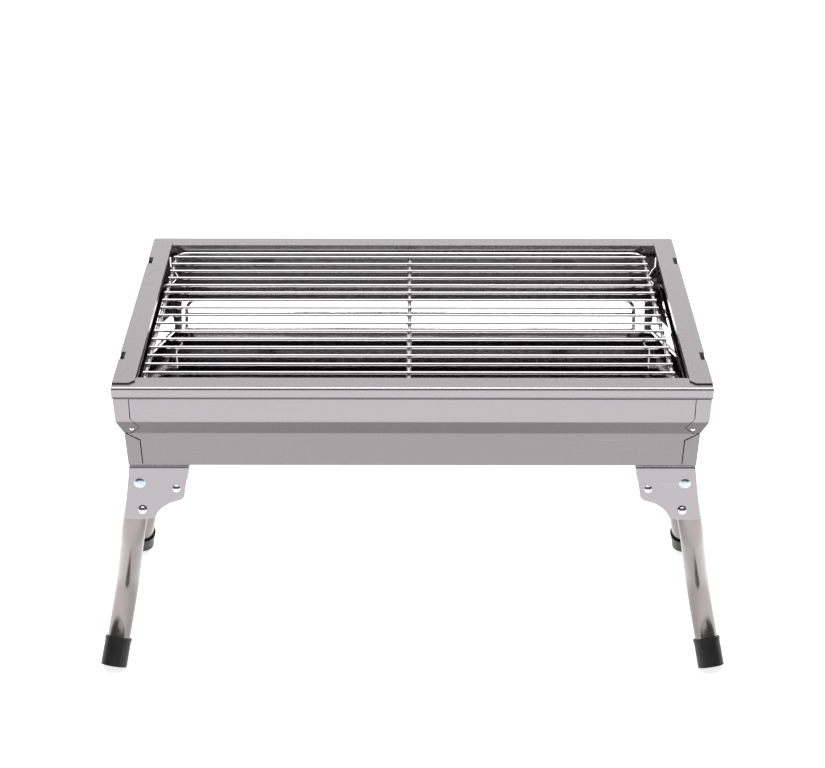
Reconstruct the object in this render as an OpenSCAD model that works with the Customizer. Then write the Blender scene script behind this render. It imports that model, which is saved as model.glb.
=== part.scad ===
// Folding camp grill: a bent sheet-steel fire box with a lift-out wire grid,
// standing on four bowed tube legs that fold flat under the box.
// Origin: centre of the footprint, on the ground. X is the long way, Y is front to back, Z is up.

/* [Fire box] */
// Length of the rim, left to right
rim_w = 430; // [400:1:460]
// Depth of the rim, front to back
rim_d = 265; // [255:1:300]
// Height of the rim above the ground
rim_h = 278; // [272:1:284]
// Width of the flat rim flanges
flange_w = 16; // [14:0.5:18]
// Thickness of the sheet steel
sheet_t = 0.9; // [0.7:0.1:1]
// Height of the upright wall under the rim
wall_h = 29.5; // [24:0.5:32]
// Height of the sloping shoulder below that wall
shoulder_h = 12; // [10:0.5:14]
// How far the shoulder steps in
shoulder_in = 5; // [4:0.5:6]
// Height of the lower wall, down to the bottom
lower_h = 27.5; // [24:0.5:30]

/* [Cooking grid] */
// Length of the grid
grid_w = 387; // [340:1:392]
// Depth of the grid
grid_d = 230; // [226:1:231]
// Number of rods between the two long frame wires
rod_count = 16; // [8:1:18]
// Diameter of the rods
rod_d = 2.2; // [1.6:0.1:2.6]
// Diameter of the frame wire
wire_d = 3.2; // [2.6:0.1:3.6]

/* [Legs] */
// Outer diameter of the leg tube
tube_d = 18; // [16:0.5:18]
// Wall thickness of the leg tube
tube_t = 1; // [0.8:0.1:1.5]
// Sideways splay of the open legs, in degrees
splay = 11.3; // [6:0.1:12]
// Lean of the legs in under the box, and out again at the feet, in degrees
bow = 30; // [24:1:32]
// Bend radius at the top of the bow
top_bend_r = 45; // [40:1:55]
// Bend radius above the foot
foot_bend_r = 60; // [50:1:65]
// Wall of the rubber foot caps
cap_wall = 1.3; // [1:0.1:2]

/* [Brackets] */
// Thickness of the bracket plate
plate_t = 1.5; // [1.2:0.1:2]
// Gap between a bracket cheek and the tube
cheek_gap = 3; // [2.8:0.1:3.5]
// Drop of the leg pivot below the rim
pivot_drop = 83.7; // [83.5:0.1:87]
// Distance of the leg pivots from the middle of the grill
pivot_x = 200.3; // [200:0.1:206]

/* [Hidden] */
$fn = 48;
half_w = rim_w / 2;
half_d = rim_d / 2;
side_lean = 1.2;                      // the end walls lean in by this much
end_x = half_w - side_lean;           // outside of the end walls, at the shoulder
box_h = wall_h + shoulder_h + lower_h;
lower_in = shoulder_in + 1;           // the lower wall leans in a further millimetre
flange_step = 1.1;                    // long flanges lie this much below the side flanges
skirt_h = 8.5;                        // proud skirt under the long flanges
recess = 1.4;                         // long walls sit this far behind the skirt
groove_h = 1.3;                       // groove under the skirt
groove_in = 3.4;                      // and its depth behind the skirt
wrap_w = 10.3;                        // end panels wrap this far round each corner
slit = 0.8;                           // gap between a wrap and the long wall beside it
side_edge = 6.3;                      // side flanges stop this far short of the rim's corners
hem_h = 8;                            // inner hem of the long flanges
hem_cut = 21;                         // hems and bottom flanges of the ends stop this far from the corners
ledge_w = 4.5;                        // ledge that the grid rests on
foot_flange = 12;                     // bottom flanges turned inward
notch_l = 12;                         // wind-shield slots in the side bends
notch_w = 4;
notch_y = 84;
bend_r = 2.2;                         // outside radius of the front and back rim bends

ledge_z = -flange_step - hem_h;       // top of the grid ledge, below the rim
frame_z = ledge_z + wire_d / 2;
rod_z = frame_z + (wire_d + rod_d) / 2 - 0.3;
grid_shift = -2.5;                    // the grid lies a little to the left in its opening
frame_corner_r = 9;
rod_pitch = (grid_d - wire_d - 24.3) / (rod_count - 1);

tube_r = tube_d / 2;
swell = 0.04;                         // the straight runs are this much slimmer than the bends
lap = 0.3;                            // and socket this far into them
cap_r = tube_r + cap_wall;
cap_grip = 17;                        // length of tube inside a cap
cap_sole = 6;
top_over = 7.5;                       // tube above the pivot
top_run = 38;                         // straight tube below the pivot, clear of the bracket
foot_run = 20;                        // straight tube at the foot
tube_end_h = 7.5;                     // height of the tube's end above the ground
base_z = rim_h - box_h;                // underside of the box
pivot_z = rim_h - pivot_drop;
leg_drop = (pivot_z - tube_end_h) / cos(splay);
bow_drop = top_bend_r * sin(bow) + 2 * foot_bend_r * sin(bow) + foot_run * cos(bow);
lean_run = (leg_drop - top_run - bow_drop) / cos(bow);

cheek_y = -half_d + 5.8;              // outer face of a front bracket's front cheek
leg_y = cheek_y + plate_t + cheek_gap + tube_r;
channel_w = 2 * (plate_t + cheek_gap + tube_r);
bracket_top = pivot_drop - box_h - 0.1;  // top of a bracket above its pivot, against the box's bottom
bracket_bend = 2.2;                   // outside radius of the bracket's top edges
cheek_low = -30.8;                    // bottom of the cheeks, below the pivot
bracket_rivet_dx = [4, 29];           // rivets to the bottom, inboard of the pivot
bracket_rivet_y = half_d - 15.5;
bottom_rivet_r = 1.6;
corner_rivet_x = 11;                  // small rivets in the corner wraps
corner_rivet_z = 7.8;
corner_rivet_r = 0.9;
shoulder_tilt = atan(shoulder_in / shoulder_h);
corner_rivet_y = half_d - recess - shoulder_in * corner_rivet_z / shoulder_h;
stop_rivet_r = 1.6;
pin_r = 2.5;
pin_clear = 0.05;
button_dx = 0.6;                      // lock button, inboard of the pivot and below it
button_dz = 22.8;
button_r = 2.2;
button_gap = 1.2;                     // room under the button's head for its travel
stud_x = button_dz * sin(splay) + button_dx * cos(splay);
stud_z = -button_dz * cos(splay) + button_dx * sin(splay);
rivet_dx = 26.6;                      // plain rivet, inboard of the pivot and just below it
rivet_dz = 5;

tray_floor = box_h - 2 * sheet_t - 0.02;  // the charcoal tray stands on the bottom plate
tray_lip = 40.5;                      // height of the tray's straight edge, below the rim
tray_x = end_x - 6.8;                 // outside of the tray
tray_y = half_d - 8.1;
tray_slope_y = 36;                    // run of the tray's sloping sides, front and back
tray_slope_x = 10;                    // and at its ends
tray_t = 0.8;
tab_x = 126;                          // support tabs on the long walls
tab_drop = 24;

steel = [0.78, 0.77, 0.78];
bright = [0.86, 0.86, 0.87];
rubber = [0.10, 0.10, 0.11];
nylon = [0.85, 0.85, 0.82];
zinc = [0.72, 0.76, 0.82];

// ---- bent sheet helpers ----

function unit(v) = v / norm(v);
function left_of(v) = [-v[1], v[0]];
function heading(p, i) = unit(p[min(i + 1, len(p) - 1)] - p[min(i, len(p) - 2)]);
function arriving(p, i) = unit(p[max(i, 1)] - p[max(i, 1) - 1]);
function offset_point(p, i, t) =
    let (a = arriving(p, i), b = heading(p, i))
    p[i] + (left_of(a) + left_of(b)) * t / (1 + a * b);
// The outline of a sheet of thickness t whose outer face follows the points p.
function sheet(p, t) = concat(p, [for (i = [len(p) - 1:-1:0]) offset_point(p, i, t)]);
function arc_points(c, r, from, to, n = 6) =
    [for (i = [0:n]) c + r * [cos(from + (to - from) * i / n), sin(from + (to - from) * i / n)]];

// The outside of the box in section, set in by e: [distance in from the rim, height].
function box_side(e, top = 0, lean = 0) = [
    [e, top],
    [e + lean, -wall_h],
    [shoulder_in + lean + e, -wall_h - shoulder_h],
    [lower_in + lean + e, -box_h]];
function box_outline(half, e, top = 0, lean = 0) =
    let (s = box_side(e, top, lean))
    concat([for (p = s) [-half + p[0], p[1]]], [for (i = [3:-1:0]) [half - s[i][0], s[i][1]]]);

// A section in X and Z drawn along Y, centred, at rim height.
module along_y(points, length) {
    translate([0, 0, rim_h])
        rotate([90, 0, 0])
            linear_extrude(height = length, center = true)
                polygon(points);
}

// A section in Y and Z drawn along X, centred, at rim height.
module along_x(points, length) {
    translate([0, 0, rim_h])
        rotate([90, 0, 90])
            linear_extrude(height = length, center = true)
                polygon(points);
}

module rim_box(low, high) {
    translate([low[0], low[1], rim_h + low[2]])
        cube(high - low);
}

module mirror_y(on) {
    mirror([0, on ? 1 : 0, 0])
        children();
}

module mirror_x(on) {
    mirror([on ? 1 : 0, 0, 0])
        children();
}

// ---- fire box ----

skirt_z = -flange_step - skirt_h;
wall_top = skirt_z - groove_h;
shoulder_z = -wall_h - shoulder_h;
long_panel_path = concat(
    [[-half_d + flange_w + ledge_w, ledge_z],
     [-half_d + flange_w, ledge_z],
     [-half_d + flange_w, -flange_step]],
    arc_points([-half_d + bend_r, -flange_step - bend_r], bend_r, 90, 180),
    [[-half_d, skirt_z],
     [-half_d + groove_in, skirt_z],
     [-half_d + groove_in, wall_top],
     [-half_d + recess, wall_top],
     [-half_d + recess, -wall_h],
     [-half_d + shoulder_in + recess, -wall_h - shoulder_h],
     [-half_d + lower_in + recess, -box_h],
     [-half_d + lower_in + recess + foot_flange, -box_h]]);

end_panel_path = [
    [-half_w + flange_w, -hem_h / 2],
    [-half_w + flange_w, 0],
    [-half_w, 0],
    [-end_x, -wall_h],
    [-end_x + shoulder_in, -wall_h - shoulder_h],
    [-end_x + lower_in, -box_h],
    [-end_x + lower_in + foot_flange, -box_h]];

// The parts of a corner that an end panel wraps round onto the long side, seen from the
// front: the upper piece with the shoulder, and the lower piece. g widens them.
function upper_wrap(g) = [
    [-half_w - 1, wall_top],
    [-end_x + wrap_w + g, wall_top],
    [-end_x + wrap_w + g, -wall_h + 2.5],
    [-end_x + wrap_w + 2.2 + g, -wall_h],
    [-end_x + wrap_w + 6 + g, -wall_h - 6],
    [-end_x + wrap_w + g / 2, shoulder_z + 0.5 - g],
    [-half_w - 1, shoulder_z - g]];
function lower_wrap(g) = [
    [-half_w - 1, shoulder_z + g],
    [-end_x + shoulder_in, shoulder_z + g],
    [-end_x + 15.6 + g, shoulder_z - 6.4 + g],
    [-end_x + 16.2 + g, -box_h + sheet_t + 0.1 - g / 16],
    [-half_w - 1, -box_h + sheet_t + 0.1 - g / 16]];

module both_ends() {
    children();
    mirror([1, 0, 0])
        children();
}

// Holes for the rivets that hold the brackets to the bottom.
module bottom_rivet_holes() {
    for (sx = [-1, 1], sy = [-1, 1], dx = bracket_rivet_dx) {
        translate([sx * (pivot_x - dx), sy * bracket_rivet_y, base_z])
            cylinder(r = bottom_rivet_r + 0.05, h = 8, center = true);
    }
}

// The front wall, with the rim flange, the skirt and the grid ledge bent from one sheet.
module long_panel() {
    section = sheet(long_panel_path, sheet_t);
    difference() {
        intersection() {
            along_x(section, rim_w);
            along_y(box_outline(half_w, sheet_t + 0.1, 1, side_lean), rim_d);
        }
        both_ends() {
            along_y(upper_wrap(slit), rim_d);
            along_y(lower_wrap(slit), rim_d);
        }
        bottom_rivet_holes();
    }
    intersection() {
        along_x(section, rim_w);
        union() {
            rim_box([-half_w, -half_d - 1, -3], [half_w, -half_d + side_edge - 0.1, 0]);
            rim_box([-half_w, -half_d - 1, skirt_z - 1], [half_w, -half_d + sheet_t + 0.01, 0]);
        }
    }
}

module corner_wrap(outline) {
    intersection() {
        along_x(sheet([for (p = box_side(recess)) [-half_d + p[0], p[1]]], sheet_t), rim_w);
        along_y(outline, rim_d);
        along_y(box_outline(half_w, 0, 0, side_lean), rim_d);
    }
}

// The side flange: a flat plate with one rounded and one clipped corner at each end.
module side_flange() {
    clip = 4;
    translate([-half_w, 0, rim_h - sheet_t])
        linear_extrude(height = sheet_t)
            difference() {
                translate([0, -half_d + side_edge])
                    square([flange_w, rim_d - 2 * side_edge]);
                for (s = [-1, 1]) {
                    translate([flange_w, s * (half_d - side_edge)])
                        rotate(45)
                            square(clip * sqrt(2), center = true);
                    difference() {
                        translate([0, s * (half_d - side_edge)])
                            square(6, center = true);
                        translate([3, s * (half_d - side_edge - 3)])
                            circle(r = 3);
                        translate([3, s * (half_d - side_edge)])
                            square([6, 12], center = true);
                        translate([0, s * (half_d - side_edge - 6)])
                            square([12, 6], center = true);
                    }
                }
            }
}

// The left end: wall, flange, hem and the wraps round both corners.
module end_panel() {
    difference() {
        union() {
            difference() {
                intersection() {
                    along_y(sheet(end_panel_path, sheet_t), rim_d);
                    along_x(box_outline(half_d, recess), rim_w);
                }
                rim_box([-half_w - 1, -half_d - 1, -3], [-half_w + flange_w + 1, -half_d + side_edge, 1]);
                rim_box([-half_w - 1, half_d - side_edge, -3], [-half_w + flange_w + 1, half_d + 1, 1]);
                rim_box([-half_w + 1, -half_d, -sheet_t], [-half_w + flange_w + 1, half_d, 1]);
                for (s = [-1, 1]) {
                    translate([-half_w + flange_w, s * half_d, rim_h - hem_h / 2 - sheet_t])
                        cube([flange_w, 2 * hem_cut, hem_h], center = true);
                    translate([-end_x + lower_in + sheet_t + foot_flange / 2 + 0.1, s * half_d, base_z])
                        cube([foot_flange + 0.1, 2 * hem_cut, 4], center = true);
                }
            }
            side_flange();
            for (s = [0, 1]) {
                mirror_y(s == 1) {
                    corner_wrap(upper_wrap(0));
                    corner_wrap(lower_wrap(0));
                }
            }
        }
        for (s = [-1, 1]) {
            translate([-half_w, s * notch_y, rim_h])
                cube([2 * notch_w, notch_l, 4], center = true);
            translate([-end_x + corner_rivet_x, s * corner_rivet_y, rim_h - wall_h - corner_rivet_z])
                rotate([-s * (shoulder_tilt + 90), 0, 0])
                    cylinder(r = corner_rivet_r + 0.05, h = 4, center = true);
        }
    }
}

module end_panel_left() {
    color(steel)
        end_panel();
}

module end_panel_right() {
    color(steel)
        mirror_x(true)
            end_panel();
}

module front_panel() {
    color(steel)
        long_panel();
}

module back_panel() {
    color(steel)
        mirror_y(true)
            long_panel();
}

module bottom_plate() {
    half_x = end_x - lower_in - sheet_t - 0.2;
    half_y = half_d - recess - lower_in - sheet_t - 0.2;
    color(steel)
        difference() {
            rim_box([-half_x, -half_y, -box_h + sheet_t + 0.05], [half_x, half_y, -box_h + 2 * sheet_t]);
            bottom_rivet_holes();
        }
}

// The outside of the tray, set in by e, as a section across the half width or depth.
function tray_section(half, slope, e) = [
    [-half + e, -tray_lip + 1],
    [-half + e, -tray_lip - 3],
    [-half + slope + e / 2, -tray_floor + (e > 0 ? tray_t : 0)],
    [half - slope - e / 2, -tray_floor + (e > 0 ? tray_t : 0)],
    [half - e, -tray_lip - 3],
    [half - e, -tray_lip + 1]];

module tray_block(e) {
    intersection() {
        along_x(tray_section(tray_y, tray_slope_y, e), rim_w);
        along_y(tray_section(tray_x, tray_slope_x, e), rim_d);
    }
}

// A shallow tray for the charcoal, with sloping sides.
module charcoal_tray() {
    color(bright)
        difference() {
            tray_block(0);
            tray_block(tray_t);
        }
}

// Bent tabs on the long walls that carry the grid in its low position.
module tray_support_tabs() {
    color(steel)
        for (sx = [-1, 1], sy = [-1, 1]) {
            translate([sx * tab_x, sy * (half_d - recess - sheet_t - 0.02), rim_h - tab_drop])
                rotate([0, 0, sy > 0 ? 180 : 0])
                    union() {
                        linear_extrude(height = sheet_t)
                            polygon([[-11, 0], [11, 0], [5, 8], [-5, 8]]);
                        translate([-11, 0, -3])
                            cube([22, sheet_t, 3.2]);
                    }
        }
}

// ---- cooking grid ----

module wire_x(length, r) {
    rotate([0, 90, 0])
        cylinder(r = r, h = length, center = true, $fn = 16);
}

module wire_y(length, r) {
    rotate([90, 0, 0])
        cylinder(r = r, h = length, center = true, $fn = 16);
}

module grid_frame() {
    r = wire_d / 2;
    hx = grid_w / 2 - r;
    hy = grid_d / 2 - r;
    c = frame_corner_r;
    color(bright)
        translate([grid_shift, 0, rim_h + frame_z]) {
            for (s = [-1, 1]) {
                translate([0, s * hy, 0])
                    wire_x(2 * (hx - c), r);
                translate([s * hx, 0, 0])
                    wire_y(2 * (hy - c), r);
            }
            for (q = [0:3]) {
                sx = q == 0 || q == 3 ? 1 : -1;
                sy = q < 2 ? 1 : -1;
                translate([sx * (hx - c), sy * (hy - c), 0])
                    rotate([0, 0, 90 * q])
                        rotate_extrude(angle = 90)
                            translate([c, 0])
                                circle(r = r, $fn = 16);
            }
        }
}

module grid_rods() {
    span = rod_pitch * (rod_count - 1);
    color(bright)
        for (i = [0:rod_count - 1]) {
            translate([grid_shift, -span / 2 + i * rod_pitch, rim_h + rod_z])
                wire_x(grid_w - 0.4, rod_d / 2);
        }
}

module grid_cross_bar() {
    color(bright)
        translate([grid_shift, 0, rim_h + frame_z])
            wire_y(grid_d - 2 * wire_d + 0.1, wire_d / 2 - 0.1);
}

// ---- small fasteners ----

// A rivet along Z: a domed head standing up from z = 0, a shank below it and a flat tail.
module rivet(head_r, head_h, shank_r, grip, tail_h) {
    ball_r = (head_r * head_r + head_h * head_h) / (2 * head_h);
    intersection() {
        translate([0, 0, head_h - ball_r])
            sphere(r = ball_r);
        cylinder(r = head_r + 1, h = head_h + 1);
    }
    translate([0, 0, -grip - tail_h])
        cylinder(r = shank_r, h = grip + tail_h + 0.05);
    translate([0, 0, -grip - tail_h])
        cylinder(r = head_r * 0.9, h = tail_h);
}

// Small rivets in the shoulder wraps, one at each corner.
module panel_rivets() {
    color(steel)
        for (sx = [-1, 1], sy = [-1, 1]) {
            translate([sx * (end_x - corner_rivet_x), sy * corner_rivet_y, rim_h - wall_h - corner_rivet_z])
                mirror_y(sy > 0)
                    rotate([90 + shoulder_tilt, 0, 0])
                        rivet(1.7, 0.9, corner_rivet_r, sheet_t + 0.05, 0.7);
        }
}

module bracket_rivets() {
    color(steel)
        for (sx = [-1, 1], sy = [-1, 1], dx = bracket_rivet_dx) {
            translate([sx * (pivot_x - dx), sy * bracket_rivet_y, base_z + 2 * sheet_t + 0.02])
                rivet(3, 1, bottom_rivet_r, 2 * sheet_t + plate_t + 0.2, 0.6);
        }
}

// ---- leg brackets ----

// Places a front left part at one of the four corners.
module at_corner(right, rear) {
    mirror_x(right)
        mirror_y(rear)
            children();
}

// The cheek's outline from the front, about the pivot: x inboard, y up.
module cheek_outline() {
    difference() {
        polygon(concat(
            [[-6.7, bracket_top + 1], [37, bracket_top + 1], [32.6, -9]],
            arc_points([26.5, -9], 6.1, 0, -85),
            [[20, -25], [8.8, -29.6], [4, cheek_low], [-8, cheek_low], [-13.2, cheek_low + 0.9]]));
        translate([31.4, -38.6])
            circle(r = 23.7, $fn = 64);
    }
}

// A channel open below, with rounded top edges, cut to the cheek's outline.
module bracket() {
    rear = cheek_y + channel_w;
    top = pivot_z + bracket_top - rim_h;
    low = top - 60;
    channel = concat(
        [[rear, low]],
        arc_points([rear - bracket_bend, top - bracket_bend], bracket_bend, 0, 90),
        arc_points([cheek_y + bracket_bend, top - bracket_bend], bracket_bend, 90, 180),
        [[cheek_y, low]]);
    difference() {
        intersection() {
            along_x(sheet(channel, plate_t), rim_w);
            translate([-pivot_x, 0, pivot_z])
                rotate([90, 0, 0])
                    linear_extrude(height = rim_d, center = true)
                        cheek_outline();
        }
        translate([-pivot_x, leg_y, pivot_z])
            rotate([90, 0, 0])
                cylinder(r = pin_r + pin_clear, h = 2 * channel_w, center = true);
        translate([-pivot_x + button_dx, cheek_y, pivot_z - button_dz])
            rotate([90, 0, 0])
                cylinder(r = button_r + 0.1, h = 6, center = true);
        translate([-pivot_x + rivet_dx, cheek_y, pivot_z - rivet_dz])
            rotate([90, 0, 0])
                cylinder(r = stop_rivet_r + 0.05, h = 6, center = true);
        bottom_rivet_holes();
    }
}

// The pivot rivet, with a wide low head on the outer cheek.
module pivot_rivet() {
    translate([-pivot_x, cheek_y, pivot_z])
        rotate([90, 0, 0])
            rivet(4.2, 1.3, pin_r, channel_w, 1.2);
}

module pivot_bushes() {
    for (y = [cheek_y + plate_t + 0.02, cheek_y + channel_w - plate_t - cheek_gap + 0.3]) {
        translate([-pivot_x, y, pivot_z])
            rotate([-90, 0, 0])
                difference() {
                    cylinder(r = 6, h = cheek_gap - 0.35);
                    translate([0, 0, -1])
                        cylinder(r = pin_r + pin_clear, h = cheek_gap + 2);
                }
    }
}

module stop_rivet() {
    translate([-pivot_x + rivet_dx, cheek_y, pivot_z - rivet_dz])
        rotate([90, 0, 0])
            rivet(3.3, 2, stop_rivet_r, plate_t, 1);
}

// The release button: a domed head held off the cheek, a stem and a retaining collar.
module lock_button() {
    head_r = 3.3;
    head_h = 1.9;
    ball_r = (head_r * head_r + head_h * head_h) / (2 * head_h);
    translate([-pivot_x + button_dx, cheek_y, pivot_z - button_dz])
        rotate([90, 0, 0]) {
            intersection() {
                translate([0, 0, button_gap + head_h - ball_r])
                    sphere(r = ball_r);
                translate([0, 0, button_gap])
                    cylinder(r = head_r + 1, h = head_h + 1);
            }
            translate([0, 0, -plate_t - 1.1])
                cylinder(r = button_r, h = plate_t + button_gap + 1.15);
            translate([0, 0, -plate_t - 0.7])
                cylinder(r = 3.1, h = 0.6);
        }
}

// ---- legs ----

// The section of a tube of outer radius r and wall thickness tube_t.
module tube_section(r) {
    difference() {
        circle(r = r);
        circle(r = r - tube_t);
    }
}

// A straight run of tube heading down, with its children at the lower end. It laps into
// the bend above and the bend below by the two lengths in lap.
module run(length, lap) {
    translate([0, 0, -length - lap[1]])
        linear_extrude(height = length + lap[0] + lap[1])
            tube_section(tube_r - swell);
    translate([0, 0, -length])
        children();
}

// A bend that turns a tube heading down towards +Y by the angle, with its children at the end.
module bend(bend_radius, angle) {
    s = sign(angle);
    a = abs(angle);
    mirror_y(s < 0)
        translate([0, bend_radius, 0])
            rotate([-90, 0, 0])
                rotate([0, 90, 0])
                    rotate_extrude(angle = a, $fn = 96)
                        translate([bend_radius, 0])
                            tube_section(tube_r, $fn = 48);
    translate([0, s * bend_radius * (1 - cos(a)), -bend_radius * sin(a)])
        rotate([angle, 0, 0])
            children();
}

// The bowed tube of a leg, from its top end down.
module bowed_tube() {
    translate([0, 0, top_over])
        run(top_over + top_run, [0, lap])
            bend(top_bend_r, bow)
                run(lean_run, [lap, lap])
                    bend(foot_bend_r, -2 * bow)
                        run(foot_run, [lap, 0]);
}

// Puts its children at the tube's lower end, heading down the tube.
module at_foot() {
    translate([0, 0, -top_run])
        translate([0, top_bend_r * (1 - cos(bow)), -top_bend_r * sin(bow)])
            rotate([bow, 0, 0])
                translate([0, 0, -lean_run])
                    translate([0, -foot_bend_r * (1 - cos(2 * bow)), -foot_bend_r * sin(2 * bow)])
                        rotate([-2 * bow, 0, 0])
                            translate([0, 0, -foot_run])
                                children();
}

// Swings a leg from upright, about its pivot, to its open position.
module open_leg() {
    translate([-pivot_x, leg_y, pivot_z])
        rotate([0, splay, 0])
            children();
}

module leg_tube() {
    open_leg()
        difference() {
            bowed_tube();
            rotate([90, 0, 0])
                cylinder(r = pin_r + pin_clear, h = tube_d + 2, center = true);
            translate([stud_x, 0, stud_z])
                rotate([90, 0, 0])
                    cylinder(r = button_r + 0.15, h = tube_d);
        }
}

// The snap pin behind the release button, on a bent leaf spring inside the tube.
module lock_spring() {
    leaf_w = 4;
    leaf_t = 0.6;
    leaf_x = stud_x - 1.9;
    inside_r = tube_r - tube_t - swell;
    reach = sqrt(pow(inside_r, 2) - pow(leaf_x + leaf_w / 2, 2)) - 0.15;
    top_z = stud_z + 5;
    end_z = stud_z - 11.5;
    pin_front = sqrt(tube_r * tube_r - stud_x * stud_x) - 0.3;
    open_leg() {
        translate([leaf_x - leaf_w / 2, 0, 0])
            rotate([90, 0, 90])
                linear_extrude(height = leaf_w)
                    polygon(sheet([[reach, end_z + 4], [reach, end_z + 1], [reach - 1.5, end_z],
                                   [0, end_z - 1.5], [-reach + 1.5, end_z], [-reach, end_z + 1],
                                   [-reach, top_z]], -leaf_t));
        translate([stud_x, -reach + 0.3, stud_z])
            rotate([90, 0, 0])
                cylinder(r = button_r, h = pin_front - reach + 0.3);
    }
}

// A rubber cap, worn flat where it meets the ground.
module foot_cap() {
    intersection() {
        open_leg()
            at_foot()
                difference() {
                    union() {
                        translate([0, 0, -cap_sole])
                            cylinder(r = cap_r, h = cap_sole + cap_grip);
                        translate([0, 0, cap_grip - 2.5])
                            cylinder(r = cap_r + 0.35, h = 2.5);
                    }
                    cylinder(r = tube_r + 0.02, h = cap_grip + 1);
                }
        translate([-2 * half_w, -2 * half_d, 0])
            cube([4 * half_w, 4 * half_d, rim_h]);
    }
}

// ---- the four corners ----

module bracket_fl() { color(steel) at_corner(false, false) bracket(); }
module bracket_fr() { color(steel) at_corner(true, false) bracket(); }
module bracket_rl() { color(steel) at_corner(false, true) bracket(); }
module bracket_rr() { color(steel) at_corner(true, true) bracket(); }
module pivot_rivet_fl() { color(zinc) at_corner(false, false) pivot_rivet(); }
module pivot_rivet_fr() { color(zinc) at_corner(true, false) pivot_rivet(); }
module pivot_rivet_rl() { color(zinc) at_corner(false, true) pivot_rivet(); }
module pivot_rivet_rr() { color(zinc) at_corner(true, true) pivot_rivet(); }
module pivot_bushes_fl() { color(nylon) at_corner(false, false) pivot_bushes(); }
module pivot_bushes_fr() { color(nylon) at_corner(true, false) pivot_bushes(); }
module pivot_bushes_rl() { color(nylon) at_corner(false, true) pivot_bushes(); }
module pivot_bushes_rr() { color(nylon) at_corner(true, true) pivot_bushes(); }
module stop_rivet_fl() { color(bright) at_corner(false, false) stop_rivet(); }
module stop_rivet_fr() { color(bright) at_corner(true, false) stop_rivet(); }
module stop_rivet_rl() { color(bright) at_corner(false, true) stop_rivet(); }
module stop_rivet_rr() { color(bright) at_corner(true, true) stop_rivet(); }
module lock_button_fl() { color(bright) at_corner(false, false) lock_button(); }
module lock_button_fr() { color(bright) at_corner(true, false) lock_button(); }
module lock_button_rl() { color(bright) at_corner(false, true) lock_button(); }
module lock_button_rr() { color(bright) at_corner(true, true) lock_button(); }
module leg_tube_fl() { color(steel) at_corner(false, false) leg_tube(); }
module leg_tube_fr() { color(steel) at_corner(true, false) leg_tube(); }
module leg_tube_rl() { color(steel) at_corner(false, true) leg_tube(); }
module leg_tube_rr() { color(steel) at_corner(true, true) leg_tube(); }
module lock_spring_fl() { color(steel) at_corner(false, false) lock_spring(); }
module lock_spring_fr() { color(steel) at_corner(true, false) lock_spring(); }
module lock_spring_rl() { color(steel) at_corner(false, true) lock_spring(); }
module lock_spring_rr() { color(steel) at_corner(true, true) lock_spring(); }
module foot_cap_fl() { color(rubber) at_corner(false, false) foot_cap(); }
module foot_cap_fr() { color(rubber) at_corner(true, false) foot_cap(); }
module foot_cap_rl() { color(rubber) at_corner(false, true) foot_cap(); }
module foot_cap_rr() { color(rubber) at_corner(true, true) foot_cap(); }

end_panel_left();
end_panel_right();
front_panel();
back_panel();
bottom_plate();
charcoal_tray();
tray_support_tabs();
grid_frame();
grid_rods();
grid_cross_bar();
panel_rivets();
bracket_rivets();
bracket_fl();
bracket_fr();
bracket_rl();
bracket_rr();
pivot_rivet_fl();
pivot_rivet_fr();
pivot_rivet_rl();
pivot_rivet_rr();
pivot_bushes_fl();
pivot_bushes_fr();
pivot_bushes_rl();
pivot_bushes_rr();
stop_rivet_fl();
stop_rivet_fr();
stop_rivet_rl();
stop_rivet_rr();
lock_button_fl();
lock_button_fr();
lock_button_rl();
lock_button_rr();
leg_tube_fl();
leg_tube_fr();
leg_tube_rl();
leg_tube_rr();
lock_spring_fl();
lock_spring_fr();
lock_spring_rl();
lock_spring_rr();
foot_cap_fl();
foot_cap_fr();
foot_cap_rl();
foot_cap_rr();
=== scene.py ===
import math

import bpy
import bmesh
from mathutils import Matrix, Vector


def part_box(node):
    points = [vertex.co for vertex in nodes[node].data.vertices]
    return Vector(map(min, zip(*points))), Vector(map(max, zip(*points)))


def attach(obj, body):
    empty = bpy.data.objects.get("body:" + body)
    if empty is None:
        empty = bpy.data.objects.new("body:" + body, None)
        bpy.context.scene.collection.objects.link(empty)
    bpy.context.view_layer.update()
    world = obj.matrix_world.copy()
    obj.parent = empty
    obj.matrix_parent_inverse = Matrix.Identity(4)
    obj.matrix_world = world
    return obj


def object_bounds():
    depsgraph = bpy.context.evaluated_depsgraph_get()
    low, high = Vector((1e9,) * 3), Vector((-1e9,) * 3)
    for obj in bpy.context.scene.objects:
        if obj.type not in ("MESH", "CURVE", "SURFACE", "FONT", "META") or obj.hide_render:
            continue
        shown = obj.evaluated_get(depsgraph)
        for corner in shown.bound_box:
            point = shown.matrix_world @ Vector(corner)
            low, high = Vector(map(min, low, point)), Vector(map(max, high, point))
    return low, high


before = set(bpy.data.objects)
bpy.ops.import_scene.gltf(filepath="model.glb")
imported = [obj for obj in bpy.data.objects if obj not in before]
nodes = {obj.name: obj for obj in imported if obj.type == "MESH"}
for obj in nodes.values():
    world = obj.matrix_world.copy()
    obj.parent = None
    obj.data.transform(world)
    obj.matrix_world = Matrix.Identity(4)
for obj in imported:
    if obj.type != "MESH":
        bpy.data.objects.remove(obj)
cad_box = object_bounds()
scene = bpy.context.scene
FOLD_BLUR = 0.0007          # half the height over which the painted shade changes at a fold


# ---------------------------------------------------------------- node helpers

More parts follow.
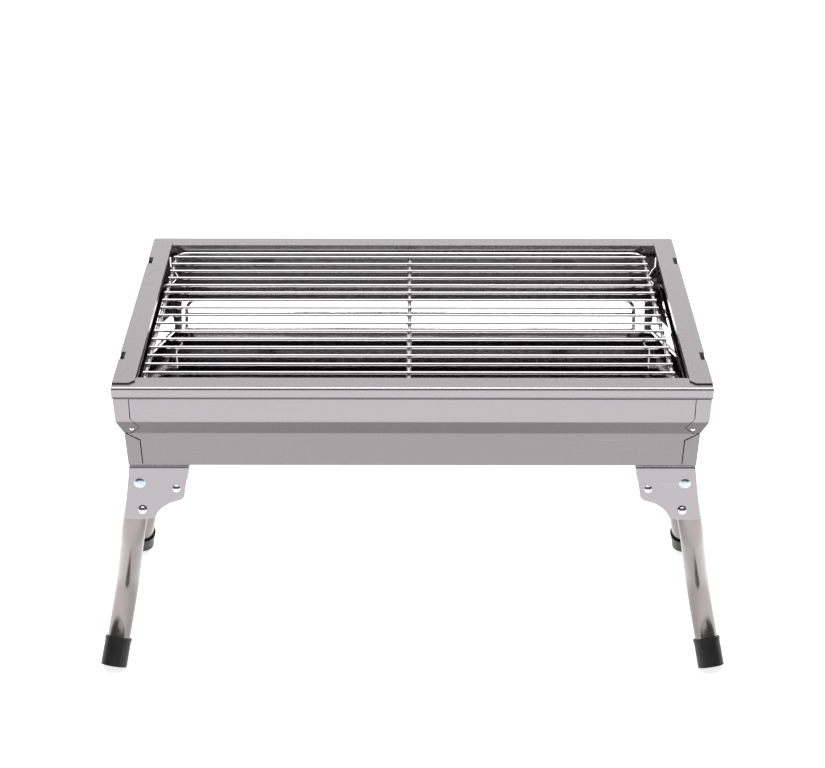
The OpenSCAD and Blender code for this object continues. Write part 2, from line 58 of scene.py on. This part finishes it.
class Tree:
    """A small wrapper that keeps material graphs short to write."""

    def __init__(self, name):
        self.mat = bpy.data.materials.new(name)
        self.mat.use_nodes = True
        self.t = self.mat.node_tree
        self.bsdf = next(n for n in self.t.nodes if n.type == "BSDF_PRINCIPLED")
        self.coord = self.t.nodes.new("ShaderNodeTexCoord").outputs["Object"]

    def put(self, socket, value):
        if isinstance(value, bpy.types.NodeSocket):
            self.t.links.new(value, socket)
        else:
            socket.default_value = value

    def math(self, op, a, b=0.0, c=0.0, clamp=False):
        n = self.t.nodes.new("ShaderNodeMath")
        n.operation = op
        n.use_clamp = clamp
        for s, v in zip(n.inputs, (a, b, c)):
            self.put(s, v)
        return n.outputs[0]

    def mapped(self, scale=(1, 1, 1), rot=(0, 0, 0), loc=(0, 0, 0)):
        n = self.t.nodes.new("ShaderNodeMapping")
        n.inputs["Scale"].default_value = scale
        n.inputs["Rotation"].default_value = rot
        n.inputs["Location"].default_value = loc
        self.t.links.new(self.coord, n.inputs["Vector"])
        return n.outputs[0]

    def noise(self, vec, scale, detail=4.0, rough=0.55, distort=0.0):
        n = self.t.nodes.new("ShaderNodeTexNoise")
        self.put(n.inputs["Vector"], vec)
        n.inputs["Scale"].default_value = scale
        n.inputs["Detail"].default_value = detail
        n.inputs["Roughness"].default_value = rough
        n.inputs["Distortion"].default_value = distort
        return n.outputs["Fac"]

    def remap(self, v, a, b, c=0.0, d=1.0, smooth=False):
        n = self.t.nodes.new("ShaderNodeMapRange")
        n.interpolation_type = "SMOOTHSTEP" if smooth else "LINEAR"
        n.clamp = True
        self.put(n.inputs["Value"], v)
        for k, x in zip(("From Min", "From Max", "To Min", "To Max"), (a, b, c, d)):
            n.inputs[k].default_value = x
        return n.outputs["Result"]

    def swing(self, v, amount):
        """A noise value centred on zero and scaled to the amount."""
        return self.math("MULTIPLY", self.math("SUBTRACT", v, 0.5), amount)

    def mix(self, fac, a, b):
        """Blends two colours. A colour mix node keeps them on its inputs 6 and 7, and its output 2."""
        n = self.t.nodes.new("ShaderNodeMix")
        n.data_type = "RGBA"
        self.put(n.inputs["Factor"], fac)
        self.put(n.inputs[6], a)
        self.put(n.inputs[7], b)
        return n.outputs[2]

    def by_height(self, painted_shade_bands):
        """A factor that steps with height: [(height, factor above it), ...] from the bottom up."""
        sep = self.t.nodes.new("ShaderNodeSeparateXYZ")
        self.t.links.new(self.coord, sep.inputs[0])
        out = painted_shade_bands[0][1]
        for (z, f), (_, before) in zip(painted_shade_bands[1:], painted_shade_bands[:-1]):
            step = self.remap(sep.outputs[2], z - FOLD_BLUR, z + FOLD_BLUR, 0.0, f - before)
            out = self.math("ADD", out, step)
        return out

    def inside(self, box):
        """One inside a box that is mirrored in X and in Y, and nothing outside it."""
        sep = self.t.nodes.new("ShaderNodeSeparateXYZ")
        self.t.links.new(self.coord, sep.inputs[0])
        out = 1.0
        for axis, (a, b) in enumerate(box):
            v = sep.outputs[axis] if axis == 2 else self.math("ABSOLUTE", sep.outputs[axis])
            out = self.math("MULTIPLY", out, self.math("GREATER_THAN", v, a))
            out = self.math("MULTIPLY", out, self.math("LESS_THAN", v, b))
        return out

    def edge(self, radius=0.0006, gain=2.5):
        """How close a point is to a sharp edge, from the rounded normal against the flat one."""
        bev = self.t.nodes.new("ShaderNodeBevel")
        bev.samples = 4
        bev.inputs["Radius"].default_value = radius
        geo = self.t.nodes.new("ShaderNodeNewGeometry")
        dot = self.t.nodes.new("ShaderNodeVectorMath")
        dot.operation = "DOT_PRODUCT"
        self.t.links.new(bev.outputs[0], dot.inputs[0])
        self.t.links.new(geo.outputs["Normal"], dot.inputs[1])
        return self.math("MULTIPLY", self.math("SUBTRACT", 1.0, dot.outputs["Value"]), gain, clamp=True)

    def bump(self, height, dist, strength=1.0, normal=None):
        n = self.t.nodes.new("ShaderNodeBump")
        n.inputs["Strength"].default_value = strength
        n.inputs["Distance"].default_value = dist
        self.put(n.inputs["Height"], height)
        if normal is not None:
            self.t.links.new(normal, n.inputs["Normal"])
        return n.outputs["Normal"]

    def colour(self, v):
        self.put(self.bsdf.inputs["Base Color"], v)

    def rough(self, v):
        self.put(self.bsdf.inputs["Roughness"], v)

    def normal(self, v):
        self.put(self.bsdf.inputs["Normal"], v)


def rgba(c, k=1.0):
    return (c[0] * k, c[1] * k, c[2] * k, 1.0)


# Fine scratches run in three directions: rotation, lines per metre at the coarse end, and noise threshold.
SCRATCHES = (((0.4, 0.2, 0.9), 11.0, 0.735), ((1.3, 0.5, -0.6), 8.0, 0.745), ((0.1, 1.1, 0.3), 13.0, 0.75))
# Colour for sharp edges: a painted edge highlight, together with wear.
EDGE_HIGHLIGHT_AND_WEAR = (0.86, 0.86, 0.87, 1.0)
BRIGHT_SCRATCH = (0.9, 0.9, 0.9, 1.0)
# Nearly black, for the painted shade inside the slots.
PAINTED_SLOT_SHADE_COLOUR = (0.01, 0.01, 0.01, 1)
# The colour that the painted shade darkens towards.
PAINTED_SHADE_BLACK = (0, 0, 0, 1)


def metal(name, base, rough, grain=(6, 900, 900), grain_bump=0.000012, grain_rough=0.10,
          blotch=0.06, scratch=0.5, edge_highlight_and_wear=0.35, tone=1.0, wave=0.0, wave_scale=9.0, painted_shade_bands=None, painted_slot_shade=None):
    """Rolled and brushed steel: a long grain, soft blotches, a few fine scratches, sharp edges painted
    lighter as a painted edge highlight with wear, and, where given, painted shade by height and in slots.
    """
    m = Tree(name)
    m.bsdf.inputs["Metallic"].default_value = 1.0
    g = m.noise(m.mapped(grain), 1.0, 5.0, 0.65)
    fine = m.noise(m.mapped(tuple(s * 2.7 for s in grain), loc=(3.1, 1.7, 0.4)), 1.0, 3.0, 0.6)
    cloud = m.noise(m.mapped((1, 1, 1)), 14.0, 3.0, 0.5, 0.4)
    smear = m.noise(m.mapped((1, 1, 1), loc=(0.3, 0.9, 0.2)), 55.0, 4.0, 0.6, 0.8)
    lines = None
    for ang, s, cut in SCRATCHES:
        v = m.noise(m.mapped((1.5 * s, 150 * s, 150 * s), rot=ang), 1.0, 1.0, 0.4)
        hit = m.remap(v, cut, cut + 0.03, smooth=True)
        lines = hit if lines is None else m.math("MAXIMUM", lines, hit)
    lines = m.math("MULTIPLY", lines, m.remap(cloud, 0.42, 0.62))
    edge = m.edge()
    shade = m.math("ADD", m.swing(g, 0.22 * tone), m.swing(cloud, 0.16 * tone))
    col = m.mix(m.math("ADD", 0.5, shade, clamp=True), rgba(base, 0.86), rgba(base, 1.10))
    # Sharp edges are painted lighter: a painted edge highlight, together with wear.
    col = m.mix(m.math("MULTIPLY", edge, edge_highlight_and_wear), col, EDGE_HIGHLIGHT_AND_WEAR)
    col = m.mix(m.math("MULTIPLY", lines, 0.35 * scratch), col, BRIGHT_SCRATCH)
    # Painted shade: the colour is darkened towards black by height, at the folds and in the skirt's
    # crease.
    if painted_shade_bands:
        col = m.mix(m.by_height(painted_shade_bands), PAINTED_SHADE_BLACK, col)
    # Painted shade: the insides of the slots are painted nearly black.
    if painted_slot_shade:
        slot_shade_mask = m.inside(painted_slot_shade)
        col = m.mix(slot_shade_mask, col, PAINTED_SLOT_SHADE_COLOUR)
    m.colour(col)
    r = m.math("ADD", rough, m.swing(g, grain_rough))
    r = m.math("ADD", r, m.swing(cloud, blotch))
    r = m.math("ADD", r, m.swing(smear, blotch))
    r = m.math("ADD", r, m.math("MULTIPLY", lines, 0.12 * scratch))
    r = m.math("SUBTRACT", r, m.math("MULTIPLY", edge, 0.06))
    if painted_slot_shade:
        r = m.math("ADD", r, m.math("MULTIPLY", slot_shade_mask, 0.4))
    m.rough(m.math("MAXIMUM", r, 0.035))
    h = m.math("ADD", m.math("MULTIPLY", g, 0.7), m.math("MULTIPLY", fine, 0.3))
    h = m.math("SUBTRACT", h, m.math("MULTIPLY", lines, 0.6 * scratch))
    nrm = m.bump(h, grain_bump)
    if wave:
        dent = m.noise(m.mapped((1, 1, 1), loc=(0.6, 0.1, 0.7)), wave_scale, 2.0, 0.4, 0.3)
        nrm = m.bump(dent, wave, normal=nrm)
    m.normal(nrm)
    return m.mat


def rubber(name):
    m = Tree(name)
    cloud = m.noise(m.mapped((1, 1, 1)), 60.0, 4.0, 0.6)
    fine = m.noise(m.mapped((1, 1, 1)), 1400.0, 3.0, 0.6)
    pits = m.noise(m.mapped((1, 1, 1), loc=(0.5, 0.2, 0.1)), 420.0, 2.0, 0.5)
    edge = m.edge(0.0008, 2.0)
    dust = m.math("MULTIPLY", m.remap(cloud, 0.45, 0.75), 0.35)
    col = m.mix(dust, (0.012, 0.012, 0.013, 1), (0.030, 0.029, 0.028, 1))
    # Sharp edges are painted lighter: a painted edge highlight, together with wear.
    col = m.mix(m.math("MULTIPLY", edge, 0.5), col, (0.055, 0.054, 0.053, 1))
    m.colour(col)
    m.rough(m.math("ADD", 0.40, m.swing(cloud, 0.30)))
    m.bsdf.inputs["Specular IOR Level"].default_value = 0.45
    height = m.math("ADD", m.math("MULTIPLY", fine, 0.35), m.math("MULTIPLY", pits, 0.65))
    m.normal(m.bump(height, 0.00010, 0.8))
    return m.mat


def nylon(name):
    m = Tree(name)
    cloud = m.noise(m.mapped((1, 1, 1)), 160.0, 3.0, 0.5)
    fine = m.noise(m.mapped((1, 1, 1)), 1800.0, 2.0, 0.5)
    m.colour(m.mix(m.remap(cloud, 0.35, 0.7), (0.60, 0.59, 0.54, 1), (0.74, 0.73, 0.68, 1)))
    m.rough(m.math("ADD", 0.42, m.math("MULTIPLY", cloud, 0.15)))
    m.bsdf.inputs["Subsurface Weight"].default_value = 0.05
    m.normal(m.bump(fine, 0.00004))
    return m.mat


def zinc(name):
    m = Tree(name)
    m.bsdf.inputs["Metallic"].default_value = 1.0
    cloud = m.noise(m.mapped((1, 1, 1)), 240.0, 4.0, 0.6, 0.6)
    fine = m.noise(m.mapped((1, 1, 1)), 2600.0, 3.0, 0.6)
    edge = m.edge(0.0005, 2.5)
    col = m.mix(m.remap(cloud, 0.35, 0.68), (0.42, 0.50, 0.62, 1), (0.66, 0.72, 0.78, 1))
    # Sharp edges are painted lighter: a painted edge highlight, together with wear.
    m.colour(m.mix(m.math("MULTIPLY", edge, 0.5), col, (0.85, 0.88, 0.9, 1)))
    m.rough(m.math("ADD", 0.20, m.swing(cloud, 0.25)))
    m.normal(m.bump(fine, 0.00003))
    return m.mat


# ---------------------------------------------------------------- finishes

SHEET = (0.395, 0.375, 0.386)
rim = cad_box[1][2]
# The wind-shield slots at the ends of the rim: their insides are painted dark, as painted shade.
PAINTED_SLOT_SHADE_BOX = ((0.205, 0.2147), (0.0776, 0.0904), (rim - 0.012, rim - 0.0011))
# Painted shade by height: the lower wall, the shoulder and the upper wall are painted darker by steps,
# then a painted shadow line in the skirt's crease, and the rim.
PAINTED_FOLD_SHADE = [(0.0, 0.59), (rim - 0.0415, 0.39), (rim - 0.0295, 0.86)]
# A painted shadow line under the skirt, in its crease, then lighter painted shade on the skirt and the
# rim.
PAINTED_CREASE_SHADOW = [(rim - 0.0101, 0.28), (rim - 0.0086, 0.90), (rim - 0.0025, 0.96)]
PAINTED_SHADE_NO_CREASE = [(rim - 0.0101, 0.96)]
sheet_x = metal("sheet_grain_along_x", SHEET, 0.27,
                grain=(5, 700, 700), grain_bump=0.000008, painted_shade_bands=PAINTED_FOLD_SHADE + PAINTED_CREASE_SHADOW)
sheet_y = metal("sheet_grain_along_y", SHEET, 0.27,
                grain=(700, 5, 700), grain_bump=0.000008, painted_shade_bands=PAINTED_FOLD_SHADE + PAINTED_SHADE_NO_CREASE, painted_slot_shade=PAINTED_SLOT_SHADE_BOX)
plate = metal("bracket_sheet", (0.335, 0.314, 0.329), 0.26,
              grain=(240, 400, 60), grain_bump=0.00001, scratch=0.8, edge_highlight_and_wear=0.5)
tube = metal("tube_steel", (0.285, 0.255, 0.252), 0.20,
             grain=(420, 420, 24), grain_bump=0.000014, grain_rough=0.16)
mirror = metal("tray_mirror_steel", (0.78, 0.765, 0.77), 0.045,
               grain=(4, 160, 160), grain_bump=0.0000004, grain_rough=0.008,
               blotch=0.012, scratch=0.25, tone=0.3, wave=0.0007, wave_scale=7.0)
wire = metal("grid_wire", (0.56, 0.55, 0.555), 0.05,
             grain=(900, 900, 900), grain_bump=0.000001, grain_rough=0.03,
             blotch=0.03, scratch=0.2, tone=0.6)
polished = metal("polished_rivet", (0.74, 0.73, 0.73), 0.16,
                 grain=(500, 500, 500), grain_bump=0.000006, scratch=0.7, edge_highlight_and_wear=0.3)
spring = metal("spring_strip", (0.42, 0.42, 0.44), 0.3,
               grain=(500, 500, 20), grain_bump=0.00001)
cap_rubber = rubber("cap_rubber")
bush_nylon = nylon("bush_nylon")
zinc_plate = zinc("zinc_plate")

# A node's name starts with the key: its material, and the width of the bevel on its sharp edges.
FINISH = {
    "end_panel": (sheet_y, 0.00022),
    "front_panel": (sheet_x, 0.00022),
    "back_panel": (sheet_x, 0.00022),
    "bottom_plate": (sheet_x, 0.0002),
    "charcoal_tray": (mirror, 0.0002),
    "tray_support_tabs": (sheet_x, 0.0002),
    "grid_": (wire, 0.0),
    "panel_rivets": (polished, 0.0),
    "bracket_rivets": (polished, 0.0),
    "bracket_": (plate, 0.00025),
    "pivot_rivet": (zinc_plate, 0.00025),
    "pivot_bushes": (bush_nylon, 0.0002),
    "stop_rivet": (polished, 0.0),
    "lock_button": (polished, 0.0),
    "leg_tube": (tube, 0.0),
    "lock_spring": (spring, 0.0),
    "foot_cap": (cap_rubber, 0.0011),
}


def finish_of(name):
    return next(v for k, v in FINISH.items() if name.startswith(k))


def dress(name, obj):
    """Gives a CAD node its material and softens its sharp edges."""
    mat, edge = finish_of(name)
    obj.data.materials.clear()
    obj.data.materials.append(mat)
    if edge:
        mod = obj.modifiers.new("edge", "BEVEL")
        mod.width = edge
        mod.segments = 2
        mod.limit_method = "ANGLE"
        mod.angle_limit = math.radians(35)


for key, obj in nodes.items():
    dress(key, obj)


# ---------------------------------------------------------------- mesh helpers

def new_piece(name, bm, mat, body, smooth=True):
    me = bpy.data.meshes.new(name)
    bm.normal_update()
    bm.to_mesh(me)
    bm.free()
    if smooth:
        me.shade_smooth()
    o = bpy.data.objects.new(name, me)
    scene.collection.objects.link(o)
    me.materials.append(mat)
    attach(o, body)
    return o


def blob(bm, centre, size, seg=10, rings=7):
    """A squashed ball, for a weld nugget."""
    mat = Matrix.Translation(centre) @ Matrix.Diagonal((*size, 1.0))
    bmesh.ops.create_uvsphere(bm, u_segments=seg, v_segments=rings, radius=1.0, matrix=mat)


# ---------------------------------------------------------------- weld nuggets on the grid

lo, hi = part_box("grid_rods")
glo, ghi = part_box("grid_frame")
blo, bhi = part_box("grid_cross_bar")
rods = 16
nugget = (0.0021, 0.0014, 0.0008)
rod_r = (hi[2] - lo[2]) / 2
span = (hi[1] - lo[1]) - 2 * rod_r
wire_r = (ghi[2] - glo[2]) / 2
weld_z = glo[2] + 2 * wire_r - 0.0001
bm = bmesh.new()
for i in range(rods):
    y = lo[1] + rod_r + span * i / (rods - 1)
    for x in (glo[0] + wire_r, (blo[0] + bhi[0]) / 2, ghi[0] - wire_r):
        uneven = 0.0001 * math.sin(7 * i + 30 * x)
        blob(bm, (x + uneven, y, weld_z), nugget)
new_piece("grid_weld_nuggets", bm, wire, "grid")


# ---------------------------------------------------------------- studio

def area(name, size, loc, aim, power):
    d = bpy.data.lights.new(name, "AREA")
    d.shape = "RECTANGLE"
    d.size, d.size_y = size
    d.energy = power
    o = bpy.data.objects.new(name, d)
    o.location = loc
    o.rotation_euler = (Vector(aim) - Vector(loc)).to_track_quat("-Z", "Y").to_euler()
    scene.collection.objects.link(o)


def floor_material():
    m = Tree("studio_floor")
    n = m.noise(m.mapped((1, 1, 1)), 3.0, 3.0, 0.5)
    m.colour(m.mix(m.remap(n, 0.3, 0.7), (0.90, 0.90, 0.90, 1), (0.92, 0.92, 0.92, 1)))
    m.rough(0.7)
    m.bsdf.inputs["Emission Color"].default_value = (1.0, 1.0, 1.0, 1.0)
    m.bsdf.inputs["Emission Strength"].default_value = 0.80
    return m.mat


floor_half = 60.0
bm = bmesh.new()
bmesh.ops.create_grid(bm, x_segments=2, y_segments=2, size=floor_half)
me = bpy.data.meshes.new("studio_floor")
bm.to_mesh(me)
bm.free()
me.materials.append(floor_material())
floor = bpy.data.objects.new("studio_floor", me)
scene.collection.objects.link(floor)

world = bpy.data.worlds.new("studio")
world.use_nodes = True
bg = next(n for n in world.node_tree.nodes if n.type == "BACKGROUND")
bg.inputs["Color"].default_value = (1.0, 0.985, 0.985, 1)
bg.inputs["Strength"].default_value = 0.13
scene.world = world

area("overhead", (2.6, 2.0), (0.0, 0.35, 2.2), (0, 0.35, 0), 66)
area("back_wall", (3.4, 1.7), (0.0, 2.6, 1.25), (0, 0.0, 0.25), 20)
area("front_low", (2.4, 0.5), (0.0, -2.4, 0.35), (0, 0, 0.1), 4)

look_down = 28.2            # degrees below level
yaw = 0.12                  # degrees to the left
cam_data = bpy.data.cameras.new("camera")
cam_data.lens = 83.87
cam_data.sensor_width = 36.0
cam = bpy.data.objects.new("camera", cam_data)
cam.location = (0.0027, -1.337, 0.9263)
cam.rotation_euler = (math.radians(90 - look_down), 0.0, math.radians(yaw))
scene.collection.objects.link(cam)
scene.camera = cam
scene.view_settings.view_transform = "Standard"
